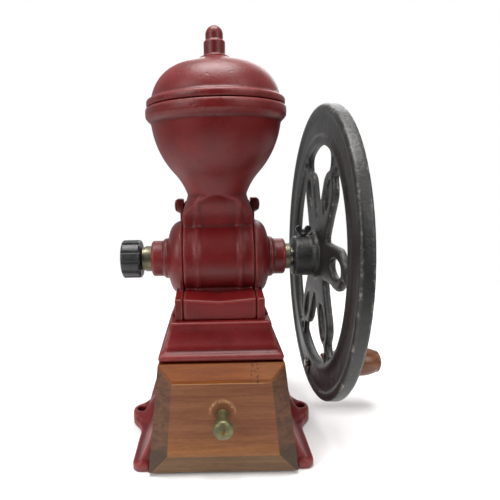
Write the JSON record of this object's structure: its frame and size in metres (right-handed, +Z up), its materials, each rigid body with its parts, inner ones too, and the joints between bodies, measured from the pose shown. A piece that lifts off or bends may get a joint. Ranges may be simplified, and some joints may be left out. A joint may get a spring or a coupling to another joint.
{
  "type": "hand crank coffee grinder",
  "caption": "Cast-iron box mill with a domed hopper, spoked flywheel with a turned side handle, burr adjusting knob and a wooden coffee drawer.",
  "frame": {"origin": "on the table, under the crossing of the hopper axis and the shaft axis, midway between the two bench holes", "axes": "+Z up, +X along the shaft towards the flywheel, +Y away from the drawer"},
  "size_m": [0.2314, 0.24, 0.3296],
  "materials": {
    "red_enamel": "satin red paint over rough casting",
    "black_iron": "textured black paint on cast iron",
    "burr_iron": "bare cast iron",
    "bright_steel": "plain steel",
    "worn_steel": "turned steel with old oil",
    "black_screw": "black oxide",
    "black_plastic": "moulded",
    "brass": "aged",
    "drawer_panel_wood": "oiled",
    "tray_wood": "raw",
    "dark_wood": "varnished"
  },
  "bodies": {
    "frame": {"base": "red_enamel", "mill_body": "red_enamel", "left_housing": "red_enamel", "right_housing": "red_enamel", "ear_screws": "red_enamel", "housing_screws": "bright_steel", "body_screws": "bright_steel", "adjusting_bush": "worn_steel", "shaft_bush": "worn_steel", "fixed_burr": "burr_iron", "fixed_burr_screws": "bright_steel", "burr_spring": "bright_steel"},
    "lid": {"hopper_lid": "red_enamel", "lid_knob": "red_enamel", "lid_knob_screw": "bright_steel"},
    "thrust_piece": {"thrust_ball": "bright_steel"},
    "adjuster": {"adjusting_knob": "black_plastic", "adjusting_screw": "worn_steel"},
    "shaft": {"main_shaft": "bright_steel", "feed_auger": "burr_iron", "moving_burr": "burr_iron", "burr_drive_pin": "bright_steel", "flywheel": "black_iron", "handle_bolt": "bright_steel", "handle_washer": "bright_steel", "handle_nut": "bright_steel"},
    "thumb_screw": {"thumb_screw": "black_screw"},
    "grip": {"handle_grip": "dark_wood"},
    "drawer": {"drawer_front": "drawer_panel_wood", "drawer_left_side": "tray_wood", "drawer_right_side": "tray_wood", "drawer_back": "tray_wood", "drawer_bottom": "tray_wood", "drawer_nails": "bright_steel", "drawer_knob": "brass", "drawer_knob_screw": "bright_steel"}
  },
  "joints": [
    {"name": "lid_lift", "type": "slide", "parent": "frame", "child": "lid", "axis": [0, 0, 1], "range_m": [0, 0.12]},
    {"name": "drawer_slide", "type": "slide", "parent": "frame", "child": "drawer", "axis": [0, -1, 0], "range_m": [0, 0.095]},
    {"name": "burr_gap_slide", "type": "slide", "parent": "frame", "child": "thrust_piece", "axis": [1, 0, 0], "range_m": [-0.0015, 0.00037], "deforming": ["burr_spring"]},
    {"name": "adjust_knob_turn", "type": "hinge", "parent": "thrust_piece", "child": "adjuster", "pos_m": [-0.0726, 0, 0.151], "axis": [1, 0, 0], "range_deg": [-360.5, 90]},
    {"name": "shaft_turn", "type": "hinge", "parent": "thrust_piece", "child": "shaft", "pos_m": [0.05, 0, 0.151], "axis": [1, 0, 0], "continuous": true},
    {"name": "grip_spin", "type": "hinge", "parent": "shaft", "child": "grip", "pos_m": [0.12, 0.01665, 0.04591], "axis": [1, 0, 0], "continuous": true},
    {"name": "thumb_screw_turn", "type": "hinge", "parent": "shaft", "child": "thumb_screw", "pos_m": [0.0715, 0, 0.168], "axis": [0, 0, 1], "range_deg": [-360, 0]}
  ],
  "couplings": [
    {"joint": "adjust_knob_turn", "follows": "burr_gap_slide", "rad_per_m": 4188.8}
  ]
}
